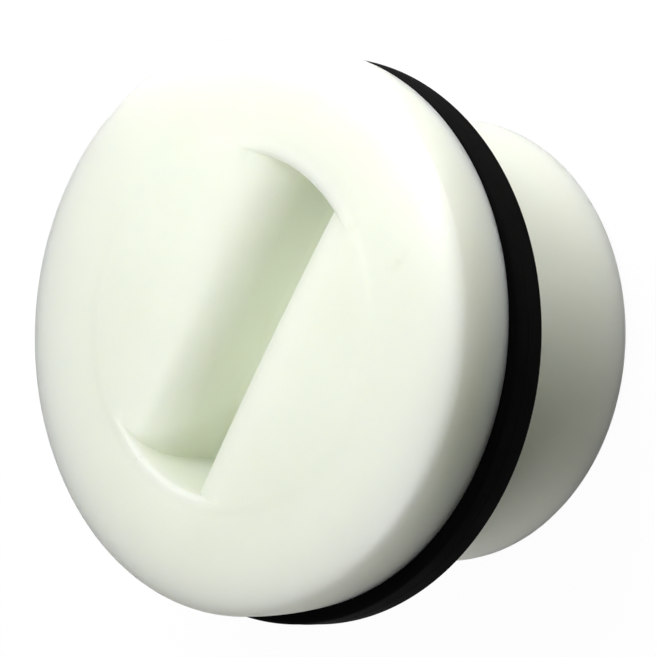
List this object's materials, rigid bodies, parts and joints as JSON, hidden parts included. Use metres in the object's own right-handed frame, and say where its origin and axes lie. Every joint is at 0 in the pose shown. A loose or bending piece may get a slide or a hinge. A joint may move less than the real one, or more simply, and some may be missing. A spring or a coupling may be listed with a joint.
{
  "type": "boat drain plug",
  "caption": "Round slotted plastic plug with a plain hollow shank and a rubber seal ring under its head, for closing a boat's drain hole.",
  "frame": {"origin": "on the plug's axis, at the open end of the shank", "axes": "+Z along the plug's axis towards the head, X along the coin slot"},
  "size_m": [0.0318, 0.0317, 0.0195],
  "materials": {
    "white_plastic": "satin moulded, slightly warm white",
    "black_rubber": "matt black"
  },
  "bodies": {
    "root": {"plug_body": "white_plastic", "seal_ring": "black_rubber"}
  },
  "joints": []
}
